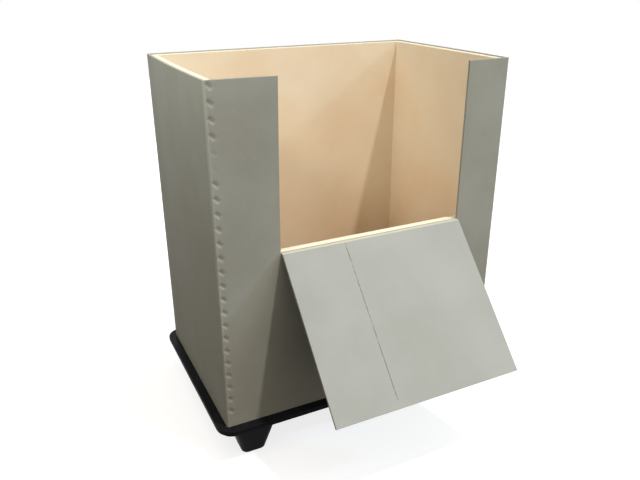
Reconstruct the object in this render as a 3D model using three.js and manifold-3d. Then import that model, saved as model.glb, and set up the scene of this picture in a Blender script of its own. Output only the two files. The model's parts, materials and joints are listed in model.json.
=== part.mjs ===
// Open bulk pallet box: a board sleeve with a loading opening and its flap, lined with thick board,
// standing in the rim of a moulded plastic pallet on closed feet.
//
// Millimetres, +Z up. The origin is on the floor under the middle of the pallet. +X runs to the
// right along the front, and the front with the opening faces -Y.

import * as THREE from 'three';
import { mergeVertices } from 'three/addons/utils/BufferGeometryUtils.js';
import Module from 'manifold-3d';

// Gap kept between pieces that touch
const CONTACT_GAP = 0.3;

// Sleeve: one thin board folded to a ring
const SLEEVE_WIDTH = 1132;
const SLEEVE_DEPTH = 732;
const SLEEVE_HEIGHT = 1237;
const SLEEVE_BOARD = 9;
const SLEEVE_FOLD_RADIUS = 1.5;

// Opening in the sleeve's front wall, open through the top
const OPENING_WIDTH = 726;
const OPENING_SHIFT = 24;
const SILL_HEIGHT = 652;

// Slanted dents in the front wall, in a column beside its left corner
const DENT_COUNT = 24;
const DENT_PITCH = 49.6;
const DENT_FROM_TOP = 20;
const DENT_FROM_CORNER = 16;
const DENT_LENGTH = 24;
const DENT_RADIUS = 3;
const DENT_DEPTH = 1.4;
const DENT_SLANT_DEG = 42;

// Liner: one thick board folded to a ring inside the sleeve, low in front
const LINER_BOARD = 26;
const LINER_BELOW_SLEEVE = 4;

// Flap of the opening, hinged at its crease along the sill
const FLAP_SIDE_GAP = 1.5;
const FLAP_ABOVE_SLEEVE = 11.5;
const FLAP_OPEN_DEG = 137.9;
const FLAP_SCORE_SHIFT = -127.5;
const FLAP_SCORE_WIDTH = 3;
const FLAP_SCORE_DEPTH = 1.2;
const FLAP_SCORE_FROM_CREASE = 12;
const FLAP_SCORE_FROM_EDGE = 28;

// Pallet: a rim around the deck, and a closed pan under it, set in from the rim's edge
const PALLET_LEDGE = 34;
const PALLET_CORNER_RADIUS = 60;
const DECK_TOP = 138;
const RIM_THICKNESS = 18;
const PAN_DEPTH = 20;
const PAN_FROM_EDGE = 14;
const RIM_RISE = 12;
const RIM_EDGE_RADIUS = 3;
const RIM_EDGE_STEPS = 3;

// Feet: closed, tapered and rounded at the sole
const FEET_X_COUNT = 3;
const FEET_Y_COUNT = 3;
const FOOT_SPACING_X = 463;
const FOOT_SPACING_Y = 310;
const FOOT_BASE = 92;
const FOOT_TOP = 164;
const FOOT_BASE_RADIUS = 22;
const FOOT_TOP_RADIUS = 34;
const FOOT_SOLE_ROUNDING = 3;

// How far a cutter reaches past the face that it opens
const CUT_PAST = 5;
// Straight steps in each rounded corner, and the smallest radius that a corner keeps when it is inset
const CORNER_STEPS = 6;
const SMALLEST_RADIUS = 1;

const wasm = await Module();
wasm.setup();

// Closed solid from a three.js geometry, for joining and cutting
function toSolid(geometry) {
  const bare = geometry.clone();
  bare.deleteAttribute('normal');
  bare.deleteAttribute('uv');
  const merged = mergeVertices(bare, 1e-4);
  return new wasm.Manifold(new wasm.Mesh({
    numProp: 3,
    vertProperties: new Float32Array(merged.attributes.position.array),
    triVerts: new Uint32Array(merged.index.array),
  }));
}

function toGeometry(solid) {
  const mesh = solid.getMesh();
  const geometry = new THREE.BufferGeometry();
  geometry.setAttribute('position', new THREE.BufferAttribute(mesh.vertProperties, 3));
  geometry.setIndex(new THREE.BufferAttribute(mesh.triVerts, 1));
  const flat = geometry.toNonIndexed();
  flat.computeVertexNormals();
  return flat;
}

// Box between two corners
function block(low, high) {
  const size = high.map((value, axis) => value - low[axis]);
  const geometry = new THREE.BoxGeometry(...size);
  geometry.translate(...low.map((value, axis) => value + size[axis] / 2));
  return toSolid(geometry);
}

// Points of a rectangle with rounded corners around the origin, counterclockwise
function roundedLoop({ width, depth, radius }) {
  const cornerX = width / 2 - radius;
  const cornerY = depth / 2 - radius;
  const corners = [[cornerX, cornerY], [-cornerX, cornerY], [-cornerX, -cornerY], [cornerX, -cornerY]];
  return corners.flatMap(([x, y], quarter) => Array.from({ length: CORNER_STEPS + 1 }, (_, step) => {
    const angle = (quarter + step / CORNER_STEPS) * Math.PI / 2;
    return [x + radius * Math.cos(angle), y + radius * Math.sin(angle)];
  }));
}

// Upright solid through rounded rectangles at rising heights
function loft(sections) {
  const loops = sections.map((section) => roundedLoop(section));
  const count = loops[0].length;
  const positions = loops.flatMap((loop, level) => loop.flatMap(([x, y]) => [x, y, sections[level].z]));
  const faces = [];
  for (let level = 0; level + 1 < loops.length; level += 1) {
    for (let i = 0; i < count; i += 1) {
      const low = level * count + i;
      const lowNext = level * count + (i + 1) % count;
      faces.push(low, lowNext, lowNext + count);
      faces.push(low, lowNext + count, low + count);
    }
  }
  const top = (loops.length - 1) * count;
  for (let i = 1; i + 1 < count; i += 1) {
    faces.push(0, i + 1, i);
    faces.push(top, top + i, top + i + 1);
  }
  const geometry = new THREE.BufferGeometry();
  geometry.setAttribute('position', new THREE.Float32BufferAttribute(positions, 3));
  geometry.setIndex(faces);
  return toSolid(geometry);
}

// Upright solid with the same rounded outline all the way up
function prism(outline, low, high) {
  return loft([{ ...outline, z: low }, { ...outline, z: high }]);
}

// Outline smaller by the same distance on every side
function inset({ width, depth, radius }, distance) {
  return {
    width: width - 2 * distance,
    depth: depth - 2 * distance,
    radius: Math.max(radius - distance, SMALLEST_RADIUS),
  };
}

// Places worked out from the sizes
const sleeveFoot = DECK_TOP + CONTACT_GAP;
const sleeveTop = sleeveFoot + SLEEVE_HEIGHT;
const sillTop = sleeveFoot + SILL_HEIGHT;
const frontFace = -SLEEVE_DEPTH / 2;
const openingLeft = OPENING_SHIFT - OPENING_WIDTH / 2;
const openingRight = OPENING_SHIFT + OPENING_WIDTH / 2;
const rimTop = DECK_TOP + RIM_RISE;
const rimUnderside = rimTop - RIM_THICKNESS;
const panUnderside = DECK_TOP - PAN_DEPTH;
const sleeveOutline = {
  width: SLEEVE_WIDTH,
  depth: SLEEVE_DEPTH,
  radius: SLEEVE_BOARD + SLEEVE_FOLD_RADIUS,
};

function makeOuterSleeve() {
  const outside = prism(sleeveOutline, sleeveFoot, sleeveTop);
  const inside = inset(sleeveOutline, SLEEVE_BOARD);
  const opening = block(
    [openingLeft, frontFace - CUT_PAST, sillTop],
    [openingRight, frontFace + SLEEVE_BOARD + CUT_PAST, sleeveTop + CUT_PAST],
  );
  let sleeve = outside
    .subtract(prism(inside, sleeveFoot - CUT_PAST, sleeveTop + CUT_PAST))
    .subtract(opening);
  for (let i = 0; i < DENT_COUNT; i += 1) {
    const dent = new THREE.CapsuleGeometry(DENT_RADIUS, DENT_LENGTH - 2 * DENT_RADIUS, 3, 10);
    dent.rotateX(Math.PI / 2);
    dent.rotateY(-THREE.MathUtils.degToRad(DENT_SLANT_DEG));
    dent.translate(
      DENT_FROM_CORNER - SLEEVE_WIDTH / 2,
      frontFace + DENT_DEPTH - DENT_RADIUS,
      sleeveTop - DENT_FROM_TOP - i * DENT_PITCH,
    );
    sleeve = sleeve.subtract(toSolid(dent));
  }
  return sleeve;
}

function makeInnerLiner() {
  const outline = inset(sleeveOutline, SLEEVE_BOARD + CONTACT_GAP);
  const inside = inset(outline, LINER_BOARD);
  const top = sleeveTop - LINER_BELOW_SLEEVE;
  const frontCut = block(
    [-inside.width / 2, -outline.depth / 2 - CUT_PAST, sillTop],
    [inside.width / 2, 0, top + CUT_PAST],
  );
  return prism(outline, sleeveFoot, top)
    .subtract(prism(inside, sleeveFoot - CUT_PAST, top + CUT_PAST))
    .subtract(frontCut);
}

// The flap is drawn shut, measured from its hinge line, and then folded out. Its root is bevelled,
// so that it turns on the sill like a crushed crease.
function makeAccessFlap() {
  const length = sleeveTop - sillTop + FLAP_ABOVE_SLEEVE;
  const outerFace = CONTACT_GAP;
  const innerFace = outerFace + SLEEVE_BOARD;
  const profile = new THREE.Shape([
    new THREE.Vector2(outerFace, CONTACT_GAP),
    new THREE.Vector2(innerFace, CONTACT_GAP + SLEEVE_BOARD),
    new THREE.Vector2(innerFace, length),
    new THREE.Vector2(outerFace, length),
  ]);
  const width = OPENING_WIDTH - 2 * FLAP_SIDE_GAP;
  const board = new THREE.ExtrudeGeometry(profile, { depth: width, bevelEnabled: false });
  const alongX = new THREE.Matrix4().makeBasis(
    new THREE.Vector3(0, 1, 0),
    new THREE.Vector3(0, 0, 1),
    new THREE.Vector3(1, 0, 0),
  );
  board.applyMatrix4(alongX);
  board.translate(openingLeft + FLAP_SIDE_GAP, 0, 0);

  const scoreMiddle = OPENING_SHIFT + FLAP_SCORE_SHIFT;
  const score = block(
    [scoreMiddle - FLAP_SCORE_WIDTH / 2, innerFace - FLAP_SCORE_DEPTH, FLAP_SCORE_FROM_CREASE],
    [scoreMiddle + FLAP_SCORE_WIDTH / 2, innerFace + CUT_PAST, length - FLAP_SCORE_FROM_EDGE],
  );
  return toSolid(board)
    .subtract(score)
    .rotate([FLAP_OPEN_DEG, 0, 0])
    .translate([0, frontFace - CONTACT_GAP, sillTop]);
}

// One closed foot around the origin, up to the rim's underside
function makeFoot() {
  const base = { width: FOOT_BASE, depth: FOOT_BASE, radius: FOOT_BASE_RADIUS };
  const top = { width: FOOT_TOP, depth: FOOT_TOP, radius: FOOT_TOP_RADIUS };
  return loft([
    { ...inset(base, FOOT_SOLE_ROUNDING), z: 0 },
    { ...base, z: FOOT_SOLE_ROUNDING },
    { ...top, z: rimUnderside },
  ]);
}

// Places of a row of equal pieces around the middle
function spread(count, spacing) {
  return Array.from({ length: count }, (_, i) => (i - (count - 1) / 2) * spacing);
}

function makePalletBase() {
  const outline = {
    width: SLEEVE_WIDTH + 2 * PALLET_LEDGE,
    depth: SLEEVE_DEPTH + 2 * PALLET_LEDGE,
    radius: PALLET_CORNER_RADIUS,
  };
  const roundedEdge = Array.from({ length: RIM_EDGE_STEPS + 1 }, (_, step) => {
    const angle = (step / RIM_EDGE_STEPS) * Math.PI / 2;
    return {
      ...inset(outline, RIM_EDGE_RADIUS * (1 - Math.cos(angle))),
      z: rimTop - RIM_EDGE_RADIUS * (1 - Math.sin(angle)),
    };
  });
  const rim = loft([{ ...outline, z: rimUnderside }, ...roundedEdge]);
  const seat = inset(sleeveOutline, -CONTACT_GAP);
  const feet = spread(FEET_X_COUNT, FOOT_SPACING_X).flatMap((x) => (
    spread(FEET_Y_COUNT, FOOT_SPACING_Y).map((y) => makeFoot().translate([x, y, 0]))
  ));
  const deck = rim
    .subtract(prism(seat, DECK_TOP, rimTop + CUT_PAST))
    .add(prism(inset(outline, PAN_FROM_EDGE), panUnderside, rimUnderside));
  return feet.reduce((pallet, foot) => pallet.add(foot), deck);
}

function makeMesh(name, solid, material) {
  const mesh = new THREE.Mesh(toGeometry(solid), new THREE.MeshStandardMaterial(material));
  mesh.name = name;
  return mesh;
}

const boxOnPallet = new THREE.Group();
boxOnPallet.add(makeMesh('pallet_base', makePalletBase(), { color: 0x1c1c1b, roughness: 0.55 }));
boxOnPallet.add(makeMesh('outer_sleeve', makeOuterSleeve(), { color: 0xa09f92, roughness: 0.85 }));
boxOnPallet.add(makeMesh('inner_liner', makeInnerLiner(), { color: 0xcfa87a, roughness: 0.9 }));
boxOnPallet.add(makeMesh('access_flap', makeAccessFlap(), { color: 0xbdbfb6, roughness: 0.85 }));

export default boxOnPallet;
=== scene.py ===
# Looks of the bulk pallet box: grey board sleeve and flap, tan liner with cream cut edges, and a
# black moulded pallet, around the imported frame. Metres, +Z up, the front faces -Y.

import json
import math

import bmesh
import bpy
from mathutils import Matrix, Vector


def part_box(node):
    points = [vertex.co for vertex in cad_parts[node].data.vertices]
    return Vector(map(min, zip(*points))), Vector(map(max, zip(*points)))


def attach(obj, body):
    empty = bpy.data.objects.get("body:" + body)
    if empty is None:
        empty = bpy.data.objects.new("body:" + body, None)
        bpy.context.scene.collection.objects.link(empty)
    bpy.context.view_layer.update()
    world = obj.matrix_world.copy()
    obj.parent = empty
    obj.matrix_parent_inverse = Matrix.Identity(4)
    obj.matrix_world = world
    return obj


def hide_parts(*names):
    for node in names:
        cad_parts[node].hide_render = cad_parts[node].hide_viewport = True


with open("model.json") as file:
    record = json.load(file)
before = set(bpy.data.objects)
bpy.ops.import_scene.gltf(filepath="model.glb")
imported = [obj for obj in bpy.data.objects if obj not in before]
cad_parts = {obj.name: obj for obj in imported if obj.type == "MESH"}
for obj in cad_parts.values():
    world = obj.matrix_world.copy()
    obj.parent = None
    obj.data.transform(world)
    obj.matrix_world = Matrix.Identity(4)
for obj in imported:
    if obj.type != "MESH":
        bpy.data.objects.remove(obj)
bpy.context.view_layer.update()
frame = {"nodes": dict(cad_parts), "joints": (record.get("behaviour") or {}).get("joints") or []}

# Boxes of the CAD nodes and the flap's crease, from which the pieces' places are worked out
sleeve_low, sleeve_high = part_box("outer_sleeve")
liner_low, liner_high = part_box("inner_liner")
flap_low, flap_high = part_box("access_flap")
crease = next(joint for joint in frame["joints"] if joint["name"] == "flap_crease")
crease_point = Vector(crease["pos_m"])
flap_angle = math.radians(-crease["range_deg"][0])

# Thickness of the two boards, the plies of the thick one, and the pitch of their flutes
SLEEVE_BOARD = 0.009
LINER_BOARD = 0.026
LINER_PLIES = 4
FLUTE_PITCH = 0.0085

# Camera: where the photograph was taken from
CAMERA_PLACE = Vector((-1.0851, -2.1894, 1.6631))
CAMERA_YAW = 0.455
CAMERA_PITCH = 0.3974
CAMERA_ROLL = -0.004
CAMERA_LENS = 36.1
SENSOR_WIDTH = 36.0

# How far the walls bow out, how much of the left wall's bow the right wall has, and how steeply
# the bow grows with height
SIDE_BOW = 0.007
RIGHT_BOW_SHARE = 0.4
BACK_BOW = 0.003
BOW_POWER = 1.6

# How far the free corners of the strips beside the opening lean out, and how the lean grows
STRIP_LEAN = 0.018
STRIP_RIGHT_LEAN = 0.002
LEAN_POWER = 1.5

# Play past the boards within which a point still belongs to their wall
WALL_PLAY = 0.002
FRONT_PLAY = 0.001

# Sleeve: its corner fold, and the gap beside the flap
SLEEVE_CORNER = 0.0105
CORNER_STEPS = 5
FLAP_SIDE_GAP = 0.0015

# Slanted dents beside the front left corner, counted from 0 at the top, with the share of its
# depth that a faint one keeps, and the finer grid that the dents need
DENT_PITCH = 0.0496
DENT_COUNT = 24
DENT_FROM_TOP = 0.020
DENT_FROM_CORNER = 0.016
DENT_HALF_LENGTH = 0.0165
DENT_BELOW = 0.0045
DENT_ABOVE = 0.0165
DENT_DEPTH = 0.0024
DENT_END_SLOPE = 1.35
DENT_SLANT = math.radians(42)
DENT_COLUMN = 0.036
DENT_FAINT = {4: 0.35, 5: 0.2}
DENT_STEP_ALONG = 0.002
DENT_STEP_UP = 0.0031

# Raised bead along the same corner, where the fold is pressed
BEAD_FROM_CORNER = 0.0060
BEAD_HALF_WIDTH = 0.0060
BEAD_RISE = 0.0024

# Score on the flap's inner face
SCORE_FROM_LEFT = 0.234
SCORE_HALF_WIDTH = 0.0016

# Widest step of the boards' grids, and the bevels on the edges that turn more than SHARP_TURN
GRID_STEP = 0.16
BOARD_EDGE = 0.0009
FLAP_EDGE = 0.0005
PALLET_EDGE = 0.0012
BEVEL_SEGMENTS = 2
SHARP_TURN = math.radians(70)

# Points nearer than this are one, and faces that turn less than this are joined
MERGE_DISTANCE = 1e-6
FLAT_TURN = math.radians(0.5)

# A face that looks this much along a direction belongs to the cut edge on that side
FACING = 0.6

# Light from above: it sets in at this height of its direction and grows to the zenith
SKY_FROM = 0.5
SKY_LOW = 0.03
SKY_ZENITH = 2.15
SKY_COLOUR = (1.0, 0.93, 0.8, 1)

# Floor: its half side, its greys for the object's light and for the camera, and its own glow
FLOOR_HALF = 9.0
FLOOR_DIM = (0.04, 0.04, 0.04, 1)
FLOOR_PALE = (0.3, 0.3, 0.3, 1)
FLOOR_GLOW = 0.8

# Sockets of the mix node that carry its two colours and their mixture
MIX_FIRST = 6
MIX_SECOND = 7
MIX_RESULT = 2


def linear(red, green, blue):
    """Linear colour of an sRGB colour given from 0 to 255."""
    def channel(value):
        share = value / 255
        return share / 12.92 if share <= 0.04045 else ((share + 0.055) / 1.055) ** 2.4
    return (channel(red), channel(green), channel(blue), 1.0)


class Nodes:
    """Short way to add and join shader nodes in one tree."""

    def __init__(self, name):
        self.material = bpy.data.materials.new(name)
        self.material.use_nodes = True
        self.tree = self.material.node_tree
        self.tree.nodes.clear()
        self.shader = self.add("ShaderNodeBsdfPrincipled")
        output = self.add("ShaderNodeOutputMaterial")
        self.join(self.shader.outputs["BSDF"], output.inputs["Surface"])
        self.coordinates = self.add("ShaderNodeTexCoord").outputs["Object"]

    def add(self, kind, **settings):
        node = self.tree.nodes.new(kind)
        for key, value in settings.items():
            setattr(node, key, value)
        return node

    def join(self, source, target):
        if hasattr(source, "is_output"):
            self.tree.links.new(source, target)
        else:
            target.default_value = source

    def math(self, operation, first, second=0.0):
        node = self.add("ShaderNodeMath", operation=operation)
        self.join(first, node.inputs[0])
        self.join(second, node.inputs[1])
        return node.outputs[0]

    def stretch(self, scale):
        node = self.add("ShaderNodeMapping")
        self.join(self.coordinates, node.inputs["Vector"])
        node.inputs["Scale"].default_value = scale
        return node.outputs["Vector"]

    def noise(self, scale, detail=3.0, roughness=0.55, vector=None):
        node = self.add("ShaderNodeTexNoise")
        self.join(vector or self.coordinates, node.inputs["Vector"])
        node.inputs["Scale"].default_value = scale
        node.inputs["Detail"].default_value = detail
        node.inputs["Roughness"].default_value = roughness
        return node.outputs["Fac"]

    def ramp(self, value, low, high):
        node = self.add("ShaderNodeMapRange", interpolation_type="SMOOTHSTEP")
        self.join(value, node.inputs["Value"])
        node.inputs["From Min"].default_value = low
        node.inputs["From Max"].default_value = high
        return node.outputs["Result"]

    def mix(self, share, first, second, blend="MIX"):
        node = self.add("ShaderNodeMix", data_type="RGBA", blend_type=blend)
        self.join(share, node.inputs[0])
        self.join(first, node.inputs[MIX_FIRST])
        self.join(second, node.inputs[MIX_SECOND])
        return node.outputs[MIX_RESULT]

    def axes(self):
        node = self.add("ShaderNodeSeparateXYZ")
        self.join(self.coordinates, node.inputs["Vector"])
        return node.outputs

    def bump(self, height, distance, strength=1.0, below=None):
        node = self.add("ShaderNodeBump")
        self.join(height, node.inputs["Height"])
        node.inputs["Distance"].default_value = distance
        node.inputs["Strength"].default_value = strength
        if below is not None:
            self.join(below, node.inputs["Normal"])
        return node.outputs["Normal"]


# Paper of the boards: the shares of its pale fibres and of its dark grain, and the range from the
# sleeve's folds over which a highlight is painted on it, with the colour of that painted highlight
FLECK_SHARE = 0.3
GRAIN_SHARE = 0.10
FOLD_HIGHLIGHT_RANGE = (0.0050, 0.0100)
FOLD_HIGHLIGHT_PAPER = linear(202, 200, 186)

# Cut edges: how far their flutes sway, in plies, and the share of the core's colour
FLUTE_SWAY = 0.3
CORE_SHARE = 0.35

# Plastic: the share of its scuffs, its least roughness, and what its clouds add to that
SCUFF_SHARE = 0.35
PLASTIC_ROUGH = 0.42
PLASTIC_ROUGH_RISE = 0.14


def inset(nodes, x, y, low, high):
    """How far a place lies inside a box's upright sides, along X and along Y."""
    return [
        nodes.math("SUBTRACT", (most - least) / 2, nodes.math("ABSOLUTE", place))
        for place, least, most in ((x, low.x, high.x), (y, low.y, high.y))]


def flute_wave(nodes, along):
    """Wave of the flutes, from -1 to 1, by the place along a board."""
    return nodes.math("SINE", nodes.math("MULTIPLY", along, 2 * math.pi / FLUTE_PITCH))


def board_face(name, pale, deep, fleck, rough, fold_highlight_share=0.0):
    """Face of a board: mottled paper with fine fibres, faint upright flutes under it, and a
    painted highlight: the paper painted pale along the sleeve's folds, where they catch the light."""
    nodes = Nodes(name)
    clouds = nodes.ramp(nodes.noise(scale=3.2, detail=4.0), low=0.3, high=0.7)
    colour = nodes.mix(clouds, pale, deep)
    upright = nodes.stretch((1.0, 1.0, 0.22))
    fibres = nodes.noise(scale=260.0, detail=3.0, roughness=0.6, vector=upright)
    long_fibres = nodes.ramp(fibres, low=0.56, high=0.74)
    colour = nodes.mix(nodes.math("MULTIPLY", long_fibres, FLECK_SHARE), colour, fleck)
    grain = nodes.ramp(nodes.noise(scale=1100.0, detail=2.0, roughness=0.7), low=0.5, high=0.8)
    colour = nodes.mix(nodes.math("MULTIPLY", grain, GRAIN_SHARE), colour, deep, blend="MULTIPLY")
    x, y, _ = nodes.axes()
    # Painted highlight: the paper is painted paler near the sleeve's folds, where they catch the
    # light
    if fold_highlight_share:
        from_fold = nodes.math("MAXIMUM", *inset(nodes, x, y, sleeve_low, sleeve_high))
        fold_highlight = nodes.math("SUBTRACT", 1.0, nodes.ramp(from_fold, *FOLD_HIGHLIGHT_RANGE))
        colour = nodes.mix(nodes.math("MULTIPLY", fold_highlight, fold_highlight_share), colour, FOLD_HIGHLIGHT_PAPER)
    nodes.join(colour, nodes.shader.inputs["Base Color"])
    nodes.shader.inputs["Roughness"].default_value = rough
    nodes.shader.inputs["Specular IOR Level"].default_value = 0.25
    flutes = flute_wave(nodes, nodes.math("ADD", x, y))
    waves = nodes.bump(flutes, distance=0.00006, strength=0.5)
    swells = nodes.noise(scale=14.0, detail=2.0)
    soft = nodes.bump(swells, distance=0.0012, strength=0.35, below=waves)
    normal = nodes.bump(fibres, distance=0.00025, strength=0.5, below=soft)
    nodes.join(normal, nodes.shader.inputs["Normal"])
    return nodes.material


def cut_edge(name, across_of, plies, pale, core):
    """Cut edge of a board: pale paper plies with the darker flutes between them."""
    nodes = Nodes(name)
    across, along = across_of(nodes, *nodes.axes())
    sway = nodes.math("MULTIPLY", flute_wave(nodes, along), FLUTE_SWAY)
    shifted = nodes.math("ADD", nodes.math("MULTIPLY", across, plies), sway)
    ply = nodes.math("ABSOLUTE", nodes.math("SUBTRACT", nodes.math("FRACT", shifted), 0.5))
    hollow = nodes.ramp(ply, low=0.16, high=0.42)
    torn = nodes.noise(scale=420.0, detail=3.0, roughness=0.65)
    share = nodes.math("MULTIPLY", hollow, nodes.ramp(torn, low=0.2, high=0.8))
    colour = nodes.mix(nodes.math("MULTIPLY", share, CORE_SHARE), pale, core)
    nodes.join(colour, nodes.shader.inputs["Base Color"])
    nodes.shader.inputs["Roughness"].default_value = 0.9
    nodes.shader.inputs["Specular IOR Level"].default_value = 0.2
    rough = nodes.bump(torn, distance=0.0006, strength=0.6)
    normal = nodes.bump(ply, distance=0.0008, strength=0.5, below=rough)
    nodes.join(normal, nodes.shader.inputs["Normal"])
    return nodes.material


def ring_across(low, high, thickness):
    """Function that gives the place in a board ring's thickness, 0 to 1, and along its wall."""
    def places(nodes, x, y, _):
        depth = nodes.math("MINIMUM", *inset(nodes, x, y, low, high))
        return nodes.math("DIVIDE", depth, thickness), nodes.math("ADD", x, y)
    return places


def flap_across(nodes, x, y, z):
    """Place in the flap's thickness at rest, and the place along its edge."""
    lean_y = nodes.math("MULTIPLY", nodes.math("SUBTRACT", y, crease_point.y), math.cos(flap_angle))
    lean_z = nodes.math("MULTIPLY", nodes.math("SUBTRACT", z, crease_point.z), math.sin(flap_angle))
    across = nodes.math("DIVIDE", nodes.math("ADD", lean_y, lean_z), SLEEVE_BOARD)
    return across, nodes.math("ADD", x, y)


def black_plastic():
    """Moulded plastic with a fine grain, paler where it is scuffed."""
    nodes = Nodes("black_plastic")
    clouds = nodes.ramp(nodes.noise(scale=9.0, detail=5.0), low=0.35, high=0.75)
    colour = nodes.mix(clouds, linear(22, 23, 25), linear(29, 30, 33))
    lengthwise = nodes.stretch((1.0, 2.5, 1.0))
    scuffs = nodes.noise(scale=70.0, detail=6.0, roughness=0.7, vector=lengthwise)
    scuffed = nodes.math("MULTIPLY", nodes.ramp(scuffs, low=0.62, high=0.8), SCUFF_SHARE)
    colour = nodes.mix(scuffed, colour, linear(36, 37, 38))
    nodes.join(colour, nodes.shader.inputs["Base Color"])
    rise = nodes.math("MULTIPLY", clouds, PLASTIC_ROUGH_RISE)
    rough = nodes.math("ADD", PLASTIC_ROUGH, rise)
    nodes.join(rough, nodes.shader.inputs["Roughness"])
    nodes.shader.inputs["Specular IOR Level"].default_value = 0.03
    grain = nodes.noise(scale=900.0, detail=2.0, roughness=0.5)
    nodes.join(nodes.bump(grain, distance=0.00012, strength=0.5), nodes.shader.inputs["Normal"])
    return nodes.material


def add_piece(name, work):
    """Object made from a bmesh, which is freed."""
    work.normal_update()
    mesh = bpy.data.meshes.new(name)
    work.to_mesh(mesh)
    work.free()
    piece = bpy.data.objects.new(name, mesh)
    bpy.context.scene.collection.objects.link(piece)
    return piece


def round_edges(piece, width):
    """Rounds the sharp edges by a bevel, keeps the wide faces' shading flat, and applies both."""
    piece.data.shade_smooth()
    bevel = piece.modifiers.new("bevel", "BEVEL")
    bevel.width = width
    bevel.segments = BEVEL_SEGMENTS
    bevel.limit_method = "ANGLE"
    bevel.angle_limit = SHARP_TURN
    bevel.use_clamp_overlap = True
    flat = piece.modifiers.new("flat", "WEIGHTED_NORMAL")
    flat.mode = "FACE_AREA"
    flat.weight = 100
    graph = bpy.context.evaluated_depsgraph_get()
    mesh = bpy.data.meshes.new_from_object(piece.evaluated_get(graph))
    piece.modifiers.clear()
    piece.data = mesh


def node_copy(node, name, width):
    """Copy of a CAD node with its edges rounded."""
    work = bmesh.new()
    work.from_mesh(frame["nodes"][node].data)
    bmesh.ops.remove_doubles(work, verts=work.verts, dist=MERGE_DISTANCE)
    bmesh.ops.dissolve_limit(work, angle_limit=FLAT_TURN, verts=work.verts, edges=work.edges)
    piece = add_piece(name, work)
    round_edges(piece, width)
    return piece


def stops(start, end, marks=(), step=GRID_STEP):
    """Places from start to end, through the marks between them, at most a step apart."""
    ends = [start, *sorted(marks, reverse=end < start), end]
    places = []
    for first, last in zip(ends, ends[1:]):
        count = max(1, math.ceil(abs(last - first) / step))
        places += [first + (last - first) * i / count for i in range(count)]
    return places


def corner_arc(x, y, side_x, side_y, start, thickness, radius):
    """Outer and inner points around one corner of a ring, or one mitred pair where it is sharp."""
    if radius <= thickness:
        return [((x, y), (x - side_x * thickness, y - side_y * thickness))]
    pairs = []
    for i in range(CORNER_STEPS + 1):
        angle = start + math.pi / 2 * i / CORNER_STEPS
        middle_x = x - side_x * radius
        middle_y = y - side_y * radius
        pairs.append(tuple(
            (middle_x + reach * math.cos(angle), middle_y + reach * math.sin(angle))
            for reach in (radius, radius - thickness)))
    return pairs


def ring_path(low, high, thickness, radius, front):
    """Outer and inner points around a board ring, counterclockwise from its front left corner."""
    corner = max(radius, thickness)
    start_x, end_x = low.x + corner, high.x - corner
    start_y, end_y = low.y + corner, high.y - corner
    path = [((x, low.y), (x, low.y + thickness)) for x in front]
    path += corner_arc(high.x, low.y, 1, -1, -math.pi / 2, thickness, radius)
    path += [((high.x, y), (high.x - thickness, y)) for y in stops(start_y, end_y)]
    path += corner_arc(high.x, high.y, 1, 1, 0, thickness, radius)
    path += [((x, high.y), (x, high.y - thickness)) for x in stops(end_x, start_x)]
    path += corner_arc(low.x, high.y, -1, 1, math.pi / 2, thickness, radius)
    path += [((low.x, y), (low.x + thickness, y)) for y in stops(end_y, start_y)]
    path += corner_arc(low.x, low.y, -1, -1, math.pi, thickness, radius)
    return path


def board_ring(name, path, levels, present, bend):
    """Closed ring of board, with the cells left out that present refuses. Side 0 of the path is
    the outer face and side 1 the inner one."""
    work = bmesh.new()
    count = len(path)
    made = {}

    def vertex(side, i, j):
        key = (side, i % count, j)
        if key not in made:
            x, y = path[i % count][side]
            made[key] = work.verts.new(bend(Vector((x, y, levels[j])), side == 0))
        return made[key]

    def filled(i, j):
        if not 0 <= j < len(levels) - 1:
            return False
        (first, _), (second, _) = path[i % count], path[(i + 1) % count]
        middle = (Vector(first) + Vector(second)) / 2
        return present(middle.x, middle.y, (levels[j] + levels[j + 1]) / 2)

    for i in range(count):
        for j in range(len(levels) - 1):
            if not filled(i, j):
                continue
            for side in (0, 1):
                work.faces.new((vertex(side, i, j), vertex(side, i + 1, j),
                                vertex(side, i + 1, j + 1), vertex(side, i, j + 1)))
            # The board's edge, wherever the cell beside is left out
            for beside, first, second in (
                ((i, j - 1), (i, j), (i + 1, j)),
                ((i, j + 1), (i, j + 1), (i + 1, j + 1)),
                ((i - 1, j), (i, j), (i, j + 1)),
                ((i + 1, j), (i + 1, j), (i + 1, j + 1)),
            ):
                if not filled(*beside):
                    work.faces.new((vertex(0, *first), vertex(0, *second),
                                    vertex(1, *second), vertex(1, *first)))
    bmesh.ops.remove_doubles(work, verts=work.verts, dist=MERGE_DISTANCE)
    bmesh.ops.recalc_face_normals(work, faces=work.faces)
    piece = add_piece(name, work)
    round_edges(piece, BOARD_EDGE)
    return piece


def share_between(value, low, high):
    """Share of the way from low to high, held between 0 and 1."""
    return min(max((value - low) / (high - low), 0.0), 1.0)


def wall_bow(place):
    """How far the side and back walls of both rings bow out, most at mid length of their tops."""
    height = share_between(place.z, sleeve_low.z, sleeve_high.z) ** BOW_POWER
    along_y = math.sin(math.pi * share_between(place.y, sleeve_low.y, sleeve_high.y))
    along_x = math.sin(math.pi * share_between(place.x, sleeve_low.x, sleeve_high.x))
    shift = Vector((0, 0, 0))
    wall = SLEEVE_BOARD + LINER_BOARD + WALL_PLAY
    if place.x < sleeve_low.x + wall:
        shift.x -= SIDE_BOW * height * along_y
    if place.x > sleeve_high.x - wall:
        shift.x += SIDE_BOW * RIGHT_BOW_SHARE * height * along_y
    if place.y > sleeve_high.y - wall:
        shift.y += BACK_BOW * height * along_x
    return shift


# Sides and sill of the opening in the front wall
opening_left = flap_low.x - FLAP_SIDE_GAP
opening_right = flap_high.x + FLAP_SIDE_GAP
sill = crease_point.z


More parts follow.
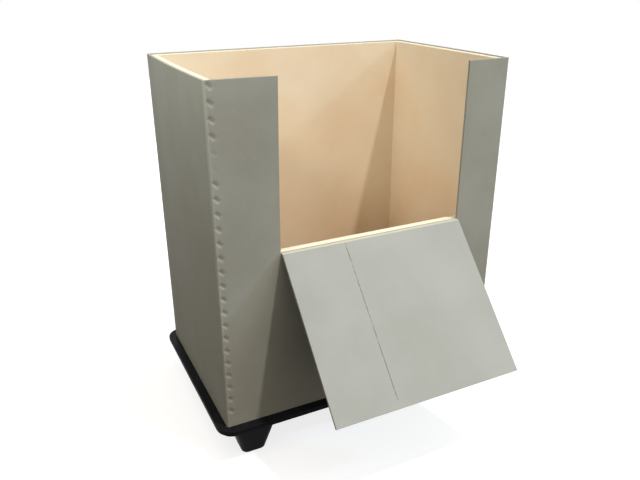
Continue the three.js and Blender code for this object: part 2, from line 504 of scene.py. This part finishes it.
def soft_step(value):
    """Smooth rise from 0 to 1 while the value goes from 0 to 1."""
    share = share_between(value, 0, 1)
    return share * share * (3 - 2 * share)


def dent_depth(place):
    """Depth of the slanted dents at a place on the front wall's outer face."""
    right = place.x - (sleeve_low.x + DENT_FROM_CORNER)
    turn = (sleeve_high.z - DENT_FROM_TOP - place.z) / DENT_PITCH
    nearest = min(max(round(turn), 0), DENT_COUNT - 1)
    up = (nearest - turn) * DENT_PITCH
    along = right * math.sin(DENT_SLANT) - up * math.cos(DENT_SLANT)
    across = right * math.cos(DENT_SLANT) + up * math.sin(DENT_SLANT)
    reach = soft_step(DENT_END_SLOPE * (1 - abs(along) / DENT_HALF_LENGTH))
    width = DENT_ABOVE if across > 0 else DENT_BELOW
    depth = DENT_DEPTH * DENT_FAINT.get(nearest, 1.0)
    return depth * reach * soft_step(1 - abs(across) / width)


def bead_rise(place):
    """Rise of the pressed bead along the front wall's left corner."""
    from_middle = abs(place.x - sleeve_low.x - BEAD_FROM_CORNER)
    return BEAD_RISE * soft_step(1 - from_middle / BEAD_HALF_WIDTH)


def sleeve_bend(place, outside):
    """The walls' bow, the lean of the two strips beside the opening, the dents and the bead."""
    shift = wall_bow(place)
    in_front = place.y < sleeve_low.y + SLEEVE_BOARD + FRONT_PLAY
    if in_front and place.z > sill:
        rise = share_between(place.z, sill, sleeve_high.z) ** LEAN_POWER
        if place.x < (opening_left + opening_right) / 2:
            left = share_between(place.x, sleeve_low.x + SLEEVE_BOARD, opening_left) ** 2
            shift.y -= STRIP_LEAN * rise * left
        else:
            right = share_between(-place.x, -sleeve_high.x + SLEEVE_BOARD, -opening_right) ** 2
            shift.y -= STRIP_RIGHT_LEAN * rise * right
    if in_front and outside:
        shift.y += dent_depth(place) - bead_rise(place)
    return place + shift


def liner_bend(place, _):
    """The walls' bow alone, on both faces."""
    return place + wall_bow(place)


def paint(piece, materials, choose):
    """Gives each face the one of the materials that choose picks by its normal and middle."""
    piece.data.materials.clear()
    for material in materials:
        piece.data.materials.append(material)
    for face in piece.data.polygons:
        face.material_index = materials.index(choose(face.normal, face.center))


# Grey board outside, with a painted highlight along the sleeve's folds
grey_face = board_face(
    "grey_board", pale=linear(167, 166, 156), deep=linear(159, 156, 144),
    fleck=linear(181, 180, 169), rough=0.85, fold_highlight_share=0.5)
# Inner faces: the same grey board painted darker, painted shade that tones down how brightly the
# flap's inner face is lit
shaded_inner_face = board_face(
    "shaded_inner_grey_board", pale=linear(156, 157, 153), deep=linear(149, 150, 145),
    fleck=linear(170, 171, 166), rough=0.85)
tan_face = board_face(
    "tan_board", pale=linear(238, 220, 193), deep=linear(234, 209, 178),
    fleck=linear(242, 228, 206), rough=0.9)
sleeve_edge = cut_edge(
    "sleeve_cut_edge", ring_across(sleeve_low, sleeve_high, SLEEVE_BOARD), plies=1,
    pale=linear(150, 148, 138), core=linear(128, 124, 112))
liner_edge = cut_edge(
    "liner_cut_edge", ring_across(liner_low, liner_high, LINER_BOARD), plies=LINER_PLIES,
    pale=linear(209, 203, 184), core=linear(190, 174, 144))
flap_edge = cut_edge(
    "flap_cut_edge", flap_across, plies=1,
    pale=linear(176, 174, 162), core=linear(150, 145, 130))


def make_sleeve():
    """Grey faces outside and inside, and cut edges at the top and around the opening."""
    left = sleeve_low.x + SLEEVE_CORNER
    right = sleeve_high.x - SLEEVE_CORNER
    column = sleeve_low.x + DENT_COLUMN
    front = stops(left, column, step=DENT_STEP_ALONG)
    front += stops(column, right, marks=(opening_left, opening_right))
    path = ring_path(sleeve_low, sleeve_high, SLEEVE_BOARD, SLEEVE_CORNER, front)
    levels = stops(sleeve_low.z, sleeve_high.z, marks=(sill,), step=DENT_STEP_UP) + [sleeve_high.z]

    def present(x, y, z):
        return not (opening_left < x < opening_right and y < 0 and z > sill)

    piece = board_ring("sleeve_board", path, levels, present, sleeve_bend)

    def choose(normal, middle):
        beside = min(abs(middle.x - opening_left), abs(middle.x - opening_right)) < SLEEVE_BOARD
        jamb = abs(normal.x) > FACING and beside and middle.y < 0
        if abs(normal.z) > FACING or jamb:
            return sleeve_edge
        axis = 0 if abs(normal.x) > abs(normal.y) else 1
        # Inner faces get the darker copy of the board, which is painted shade
        return shaded_inner_face if normal[axis] * middle[axis] < 0 else grey_face

    paint(piece, [grey_face, sleeve_edge, shaded_inner_face], choose)
    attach(piece, "box")
    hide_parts("outer_sleeve")


def make_liner():
    """Tan faces, and cut edges at the top and along the sill."""
    inside_left = liner_low.x + LINER_BOARD
    inside_right = liner_high.x - LINER_BOARD
    front = stops(inside_left, inside_right)
    path = ring_path(liner_low, liner_high, LINER_BOARD, 0.0, front)
    levels = stops(liner_low.z, liner_high.z, marks=(sill,)) + [liner_high.z]

    def present(x, y, z):
        return not (inside_left < x < inside_right and y < 0 and z > sill)

    piece = board_ring("liner_board", path, levels, present, liner_bend)

    def choose(normal, _):
        return liner_edge if abs(normal.z) > FACING else tan_face

    paint(piece, [tan_face, liner_edge], choose)
    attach(piece, "box")
    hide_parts("inner_liner")


def painted_score_shade():
    """Line of the score on the flap, painted dark as shade in its groove, broken here and there."""
    nodes = Nodes("flap_score_shade")
    # Painted shade: the score's groove is painted darker in patches
    score_shade = nodes.ramp(nodes.noise(scale=38.0, detail=3.0), low=0.38, high=0.55)
    colour = nodes.mix(score_shade, linear(156, 156, 151), linear(126, 126, 121))
    nodes.join(colour, nodes.shader.inputs["Base Color"])
    nodes.shader.inputs["Roughness"].default_value = 0.9
    return nodes.material


def make_flap():
    """Grey faces with a score, and cut edges all round."""
    piece = node_copy("access_flap", "flap_board", FLAP_EDGE)
    along = Vector((0, -math.sin(flap_angle), math.cos(flap_angle)))
    inward = Vector((0, math.cos(flap_angle), math.sin(flap_angle)))
    score = flap_low.x + SCORE_FROM_LEFT
    score_shade_face = painted_score_shade()

    def choose(normal, middle):
        inside = normal.dot(inward) > 0
        below_face = (middle - crease_point).dot(inward) < SLEEVE_BOARD
        if inside and below_face and abs(middle.x - score) < SCORE_HALF_WIDTH:
            return score_shade_face
        if abs(normal.x) > FACING or abs(normal.dot(along)) > FACING:
            return flap_edge
        # The flap's inner face gets the darker copy of the board, which is painted shade
        return shaded_inner_face if inside else grey_face

    paint(piece, [shaded_inner_face, flap_edge, score_shade_face, grey_face], choose)
    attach(piece, "flap")
    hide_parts("access_flap")


def make_pallet():
    """Black plastic with its edges rounded."""
    piece = node_copy("pallet_base", "pallet_tray", PALLET_EDGE)
    plastic = black_plastic()
    paint(piece, [plastic], lambda normal, middle: plastic)
    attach(piece, "box")
    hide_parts("pallet_base")


def make_camera():
    """Camera at the photograph's place, turned by its yaw, pitch and roll."""
    forward = Vector((
        math.sin(CAMERA_YAW) * math.cos(CAMERA_PITCH),
        math.cos(CAMERA_YAW) * math.cos(CAMERA_PITCH),
        -math.sin(CAMERA_PITCH),
    ))
    level = Vector((math.cos(CAMERA_YAW), -math.sin(CAMERA_YAW), 0))
    upright = level.cross(forward)
    right = level * math.cos(CAMERA_ROLL) + upright * math.sin(CAMERA_ROLL)
    up = upright * math.cos(CAMERA_ROLL) - level * math.sin(CAMERA_ROLL)
    data = bpy.data.cameras.new("camera")
    data.lens = CAMERA_LENS
    data.sensor_width = SENSOR_WIDTH
    camera = bpy.data.objects.new("camera", data)
    camera.matrix_world = Matrix((right, up, -forward)).transposed().to_4x4()
    camera.location = CAMERA_PLACE
    bpy.context.scene.collection.objects.link(camera)
    bpy.context.scene.camera = camera


def sun(name, travel, strength, degrees, colour):
    """A far lamp whose light travels along the given direction."""
    data = bpy.data.lights.new(name, "SUN")
    data.energy = strength
    data.angle = math.radians(degrees)
    data.color = colour
    lamp = bpy.data.objects.new(name, data)
    lamp.rotation_euler = Vector(travel).to_track_quat("-Z", "Y").to_euler()
    bpy.context.scene.collection.objects.link(lamp)


def softbox(name, place, target, size, power, colour, spread=180):
    """A square lamp that faces its target, with its spread in degrees."""
    data = bpy.data.lights.new(name, "AREA")
    data.size = size
    data.spread = math.radians(spread)
    data.energy = power
    data.color = colour
    lamp = bpy.data.objects.new(name, data)
    lamp.location = place
    lamp.rotation_euler = (Vector(target) - Vector(place)).to_track_quat("-Z", "Y").to_euler()
    bpy.context.scene.collection.objects.link(lamp)


def make_lights():
    """Lamps that cast the photograph's shadows, and fills for the sides that they leave dark."""
    sun("key_light", travel=(-0.173, 0.226, -0.75), strength=2.0, degrees=2.5,
        colour=(1.0, 0.97, 0.93))
    sun("right_light", travel=(-0.87, 0.345, -0.618), strength=0.85, degrees=5.0,
        colour=(0.48, 0.74, 1.0))
    softbox("left_light", place=(-1.83, -0.80, 2.41), target=(-0.2, 0.1, 1.75),
            size=0.35, power=5.5, colour=(0.93, 1.0, 0.97), spread=78)
    softbox("front_fill", place=(0.9, -4.2, 1.3), target=(0.0, -0.4, 0.6),
            size=2.6, power=18.0, colour=(1.0, 0.96, 0.88))
    softbox("back_fill", place=(-0.4, 4.4, 1.1), target=(0.0, 0.4, 0.7),
            size=2.6, power=60.0, colour=(0.96, 0.98, 1.0))
    softbox("right_fill", place=(1.9, -2.7, 2.1), target=(0.2, -0.4, 0.9),
            size=1.8, power=20.0, colour=(0.95, 1.0, 1.0))


def seen_ray(tree):
    """1 for a ray from the camera, or one mirrored or passed on by glass."""
    path = tree.nodes.new("ShaderNodeLightPath")
    total = path.outputs["Is Camera Ray"]
    for name in ("Is Glossy Ray", "Is Transmission Ray"):
        node = tree.nodes.new("ShaderNodeMath")
        node.operation = "MAXIMUM"
        tree.links.new(total, node.inputs[0])
        tree.links.new(path.outputs[name], node.inputs[1])
        total = node.outputs[0]
    return total


def make_world():
    """White where it is seen, and soft light from above."""
    world = bpy.data.worlds.new("studio")
    world.use_nodes = True
    bpy.context.scene.world = world
    tree = world.node_tree
    tree.nodes.clear()
    direction = tree.nodes.new("ShaderNodeTexCoord").outputs["Generated"]
    split = tree.nodes.new("ShaderNodeSeparateXYZ")
    tree.links.new(direction, split.inputs["Vector"])
    height = tree.nodes.new("ShaderNodeMapRange")
    tree.links.new(split.outputs["Z"], height.inputs["Value"])
    height.inputs["From Min"].default_value = SKY_FROM
    height.inputs["From Max"].default_value = 1.0
    height.inputs["To Min"].default_value = SKY_LOW
    height.inputs["To Max"].default_value = SKY_ZENITH
    soft = tree.nodes.new("ShaderNodeBackground")
    tree.links.new(height.outputs["Result"], soft.inputs["Strength"])
    soft.inputs["Color"].default_value = SKY_COLOUR
    white = tree.nodes.new("ShaderNodeBackground")
    white.inputs["Color"].default_value = (1, 1, 1, 1)
    mix = tree.nodes.new("ShaderNodeMixShader")
    tree.links.new(seen_ray(tree), mix.inputs["Fac"])
    tree.links.new(soft.outputs["Background"], mix.inputs[1])
    tree.links.new(white.outputs["Background"], mix.inputs[2])
    output = tree.nodes.new("ShaderNodeOutputWorld")
    tree.links.new(mix.outputs["Shader"], output.inputs["Surface"])


def make_floor():
    """Pale where it is seen, and dim to the object, so that little light comes from below."""
    mesh = bpy.data.meshes.new("floor")
    signs = ((-1, -1), (1, -1), (1, 1), (-1, 1))
    corners = [(x * FLOOR_HALF, y * FLOOR_HALF, 0) for x, y in signs]
    mesh.from_pydata(corners, [], [(0, 1, 2, 3)])
    floor = bpy.data.objects.new("floor", mesh)
    bpy.context.scene.collection.objects.link(floor)
    material = bpy.data.materials.new("floor_paper")
    material.use_nodes = True
    tree = material.node_tree
    tree.nodes.clear()
    dim = tree.nodes.new("ShaderNodeBsdfDiffuse")
    dim.inputs["Color"].default_value = FLOOR_DIM
    pale = tree.nodes.new("ShaderNodeBsdfDiffuse")
    pale.inputs["Color"].default_value = FLOOR_PALE
    glow = tree.nodes.new("ShaderNodeEmission")
    glow.inputs["Strength"].default_value = FLOOR_GLOW
    seen = tree.nodes.new("ShaderNodeAddShader")
    tree.links.new(pale.outputs["BSDF"], seen.inputs[0])
    tree.links.new(glow.outputs["Emission"], seen.inputs[1])
    mix = tree.nodes.new("ShaderNodeMixShader")
    tree.links.new(seen_ray(tree), mix.inputs["Fac"])
    tree.links.new(dim.outputs["BSDF"], mix.inputs[1])
    tree.links.new(seen.outputs["Shader"], mix.inputs[2])
    output = tree.nodes.new("ShaderNodeOutputMaterial")
    tree.links.new(mix.outputs["Shader"], output.inputs["Surface"])
    mesh.materials.append(material)


make_sleeve()
make_liner()
make_flap()
make_pallet()
make_camera()
make_lights()
make_world()
make_floor()
bpy.context.scene.view_settings.view_transform = "Standard"
